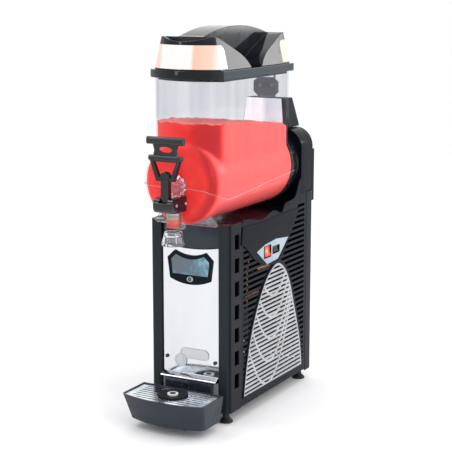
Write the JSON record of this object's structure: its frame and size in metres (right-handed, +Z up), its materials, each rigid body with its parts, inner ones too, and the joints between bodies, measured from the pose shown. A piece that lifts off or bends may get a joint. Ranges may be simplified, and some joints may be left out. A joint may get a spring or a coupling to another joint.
{
  "type": "slush machine",
  "caption": "Countertop frozen drink machine with a clear horizontal bowl, lever tap, lit lid, cooled drum with auger and a removable drip tray.",
  "frame": {"origin": "on the surface under the feet, below the middle of the machine's overall length and width", "axes": "+Z up, -Y towards the user and the drip tray, +X to the right as seen from the front"},
  "size_m": [0.1991, 0.56, 0.8485],
  "materials": {
    "gloss_black": "piano gloss",
    "satin_black": "satin moulded",
    "charcoal": "satin moulded",
    "dark_grey": "gloss moulded",
    "mirror_steel": "mirror polished",
    "satin_steel": "satin",
    "silver_plastic": "silver painted plastic",
    "silver_blue": "silver blue metallic paint",
    "clear_plastic": "clear polycarbonate",
    "display_glass": "backlit window",
    "slush": "wet ice",
    "rubber": "moulded rubber",
    "copper": "bare copper",
    "chrome": "polished",
    "board": "solder mask",
    "motor_grey": "enamel",
    "compressor_black": "enamel",
    "white_plastic": "food-grade moulded",
    "lamp_lens": "frosted, lit",
    "red_rocker": "lit red",
    "black_rocker": "gloss",
    "frame_grey": "zinc plated"
  },
  "bodies": {
    "chassis": {"base_pan": "gloss_black", "rubber_feet": "rubber", "chassis_frame": "satin_black", "corner_pillars": "gloss_black", "front_panel": "mirror_steel", "panel_screws": "chrome", "badge_plate": "satin_steel", "front_fascia": "dark_grey", "display_bezel": "satin_black", "display_lens": "display_glass", "ledge_strip": "mirror_steel", "tray_bracket": "satin_black", "side_panels": "satin_black", "side_grilles": "silver_plastic", "side_fascias": "gloss_black", "switch_plate": "silver_blue", "rocker_frames": "satin_black", "top_deck": "satin_black", "tower_shell": "gloss_black", "rear_panel": "satin_black", "motor_cover": "gloss_black", "bowl_seat": "gloss_black", "bowl_gasket": "rubber", "neck_cover": "gloss_black", "contact_plate": "dark_grey", "evaporator_drum": "satin_steel", "evaporator_coil": "copper", "shaft_seal": "rubber", "gear_motor": "motor_grey", "compressor": "compressor_black", "compressor_mounts": "rubber", "condenser": "satin_steel", "fan_shroud": "frame_grey", "fan_motor": "motor_grey", "refrigerant_pipes": "copper", "control_board": "board", "cable_gland": "satin_black"},
    "bowl": {"bowl": "clear_plastic", "slush_fill": "slush", "front_boss": "clear_plastic", "pivot_block": "satin_black", "pivot_pins": "chrome", "nozzle": "clear_plastic"},
    "lid": {"lid_rim": "gloss_black", "lid_housing": "gloss_black", "lid_lenses": "lamp_lens", "lamp_boards": "board"},
    "lever": {"tap_lever": "satin_black"},
    "piston": {"tap_piston": "white_plastic", "piston_rings": "rubber"},
    "auger": {"auger": "white_plastic", "drive_shaft": "satin_steel"},
    "fan": {"fan_blade": "satin_black"},
    "tray": {"drip_tray": "charcoal"},
    "grid": {"tray_grid": "satin_steel", "drain_disc": "satin_black"},
    "float": {"tray_float": "white_plastic"},
    "power_rocker": {"power_rocker": "red_rocker"},
    "light_rocker": {"light_rocker": "black_rocker"},
    "mode_button": {"mode_button": "satin_steel"}
  },
  "joints": [
    {"name": "bowl_slide", "type": "slide", "parent": "chassis", "child": "bowl", "axis": [0, -1, 0], "range_m": [0, 0.37]},
    {"name": "lid_lift", "type": "slide", "parent": "bowl", "child": "lid", "axis": [0, 0, 1], "range_m": [0, 0.12]},
    {"name": "tap_lever", "type": "hinge", "parent": "bowl", "child": "lever", "pos_m": [0, -0.234, 0.49], "axis": [1, 0, 0], "range_deg": [0, 30], "stiffness_Nm_per_rad": 1.2, "springref_deg": -17.19},
    {"name": "tap_piston", "type": "slide", "parent": "bowl", "child": "piston", "axis": [0, 0, 1], "range_m": [0, 0.0106]},
    {"name": "auger_spin", "type": "hinge", "parent": "chassis", "child": "auger", "pos_m": [0, 0, 0.5284], "axis": [0, 1, 0], "continuous": true},
    {"name": "fan_spin", "type": "hinge", "parent": "chassis", "child": "fan", "pos_m": [0, -0.028, 0.145], "axis": [0, 1, 0], "continuous": true},
    {"name": "tray_slide", "type": "slide", "parent": "chassis", "child": "tray", "axis": [0, -1, 0], "range_m": [0, 0.12]},
    {"name": "grid_lift", "type": "slide", "parent": "tray", "child": "grid", "axis": [0, 0, 1], "range_m": [0, 0.06]},
    {"name": "float_rise", "type": "slide", "parent": "tray", "child": "float", "axis": [0, 0, 1], "range_m": [0, 0.006]},
    {"name": "power_rocker", "type": "hinge", "parent": "chassis", "child": "power_rocker", "pos_m": [0.0925, 0.0275, 0.3535], "axis": [0, 1, 0], "range_deg": [0, 16]},
    {"name": "light_rocker", "type": "hinge", "parent": "chassis", "child": "light_rocker", "pos_m": [0.0925, 0.069, 0.352], "axis": [0, 1, 0], "range_deg": [0, 16]},
    {"name": "mode_button", "type": "slide", "parent": "chassis", "child": "mode_button", "axis": [0, 1, 0], "range_m": [0, 0.0015], "stiffness_N_per_m": 500, "springref_m": -0.001}
  ],
  "couplings": [
    {"joint": "tap_piston", "follows": "tap_lever", "m_per_rad": 0.02}
  ]
}
